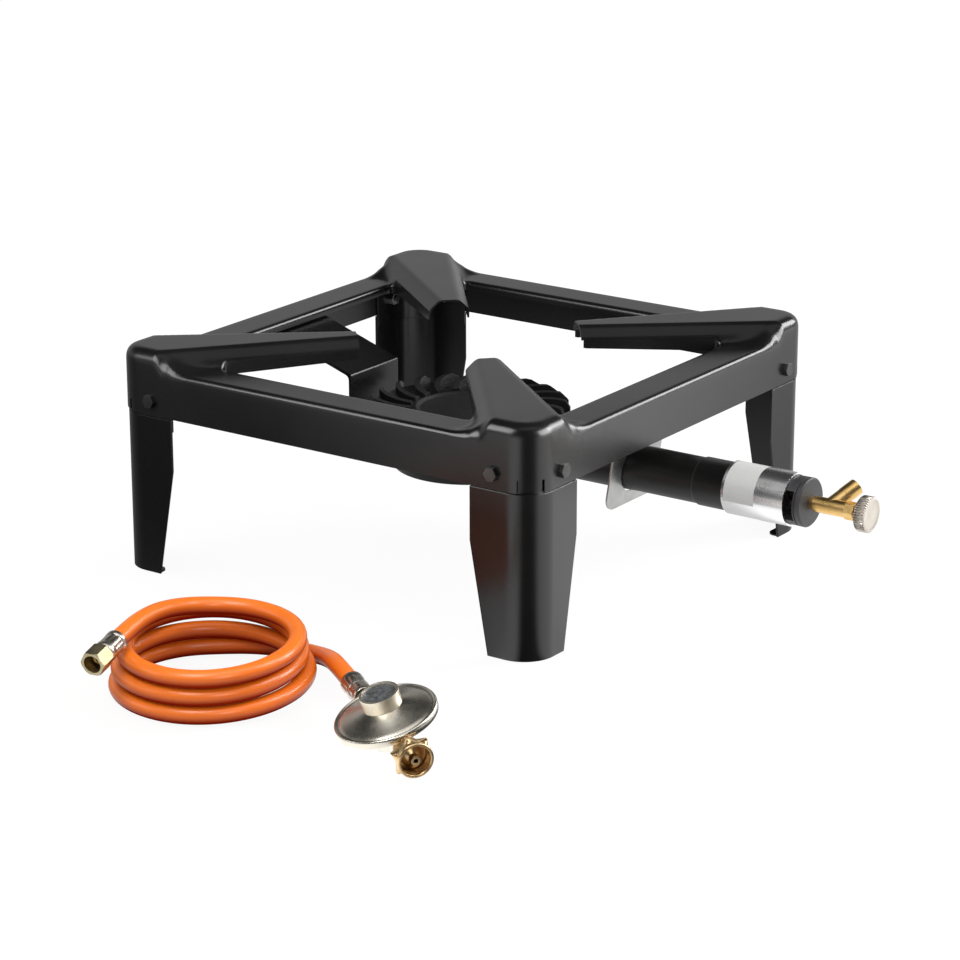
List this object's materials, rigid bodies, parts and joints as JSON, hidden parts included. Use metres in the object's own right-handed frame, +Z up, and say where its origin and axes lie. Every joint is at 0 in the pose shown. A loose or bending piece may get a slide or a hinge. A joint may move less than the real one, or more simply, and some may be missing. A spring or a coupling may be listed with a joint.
{
  "type": "gas burner stove",
  "caption": "Low square pressed-steel stove stand with pot arms, cast ring burner, air sleeve and needle valve, and a coiled gas hose with a regulator beside it.",
  "frame": {"origin": "on the floor under the centre of the burner and stand", "axes": "+X along the burner tube towards the knob, +Y to the right as seen from in front of the knob, +Z up"},
  "size_m": [0.574, 0.6716, 0.1827],
  "materials": {
    "stand_paint": "semi-gloss black powder coat",
    "zinc_steel": "bright zinc",
    "galvanised": "galvanised sheet",
    "cast_black": "matt black casting",
    "cast_grey": "dark cast metal",
    "sleeve_zinc": "bright rolled steel",
    "brass": "satin turned brass",
    "knob_nickel": "knurled nickel",
    "hose_orange": "satin",
    "ferrule_nickel": "bright crimped sleeve",
    "yellow_zinc": "yellow passivated zinc",
    "regulator_zinc": "polished die casting",
    "disc_grey": "blank disc",
    "seal_rubber": "sealing rubber"
  },
  "bodies": {
    "stove": {"frame": "stand_paint", "leg_front_right": "stand_paint", "leg_rear_right": "stand_paint", "leg_rear_left": "stand_paint", "leg_front_left": "stand_paint", "burner_strap": "stand_paint", "leg_screws": "zinc_steel", "leg_nuts": "zinc_steel", "burner_bolt": "zinc_steel", "burner_washer": "zinc_steel", "regulator_spring": "zinc_steel", "tube_plate": "galvanised", "burner_bowl": "cast_black", "burner_crown": "cast_black", "air_cap": "cast_grey", "jet": "brass", "valve_body": "brass", "gland_nut": "brass", "stove_end_nipple": "brass", "outlet_nipple": "brass", "inlet_nozzle": "brass", "hose_coil": "hose_orange", "hose_tail": "hose_orange", "ferrule_stove_end": "ferrule_nickel", "ferrule_regulator_end": "ferrule_nickel", "regulator_body": "regulator_zinc", "regulator_cover": "regulator_zinc", "regulator_cap": "regulator_zinc", "spring_adjuster": "regulator_zinc", "cap_disc": "disc_grey", "diaphragm": "seal_rubber", "spindle_packing": "seal_rubber"},
    "shutter": {"air_shutter": "sleeve_zinc"},
    "spindle": {"valve_spindle": "brass"},
    "knob_body": {"knob": "knob_nickel"},
    "union": {"union_nut": "yellow_zinc"},
    "wheel": {"handwheel": "brass"},
    "plate": {"diaphragm_plate": "zinc_steel"},
    "plug": {"valve_plug": "brass"}
  },
  "joints": [
    {"name": "shutter_slide", "type": "slide", "parent": "stove", "child": "shutter", "axis": [1, 0, 0], "range_m": [-0.016, 0.0085]},
    {"name": "spindle_travel", "type": "slide", "parent": "stove", "child": "spindle", "axis": [1, 0, 0], "range_m": [0, 0.00151]},
    {"name": "knob_turn", "type": "hinge", "parent": "spindle", "child": "knob_body", "pos_m": [0.365, 0, 0.0955], "axis": [1, 0, 0], "range_deg": [0, 540]},
    {"name": "union_spin", "type": "hinge", "parent": "stove", "child": "union", "pos_m": [0.00453, -0.45815, 0.04477], "axis": [0.1903, -0.9671, -0.169], "continuous": true},
    {"name": "wheel_spin", "type": "hinge", "parent": "stove", "child": "wheel", "pos_m": [0.2489, -0.41709, 0.01539], "axis": [0.8268, -0.5598, -0.0558], "continuous": true},
    {"name": "diaphragm_lift", "type": "slide", "parent": "stove", "child": "plate", "axis": [-0.1197, -0.272, 0.9548], "range_m": [0, 0.0008], "stiffness_N_per_m": 2000, "springref_m": -0.002, "deforming": ["diaphragm", "regulator_spring"]},
    {"name": "plug_travel", "type": "slide", "parent": "stove", "child": "plug", "axis": [0.8268, -0.5598, -0.0558], "range_m": [0, 0.00027]}
  ],
  "couplings": [
    {"joint": "spindle_travel", "follows": "knob_turn", "m_per_rad": 0.00015915},
    {"joint": "plug_travel", "follows": "diaphragm_lift", "ratio": 0.33333}
  ]
}
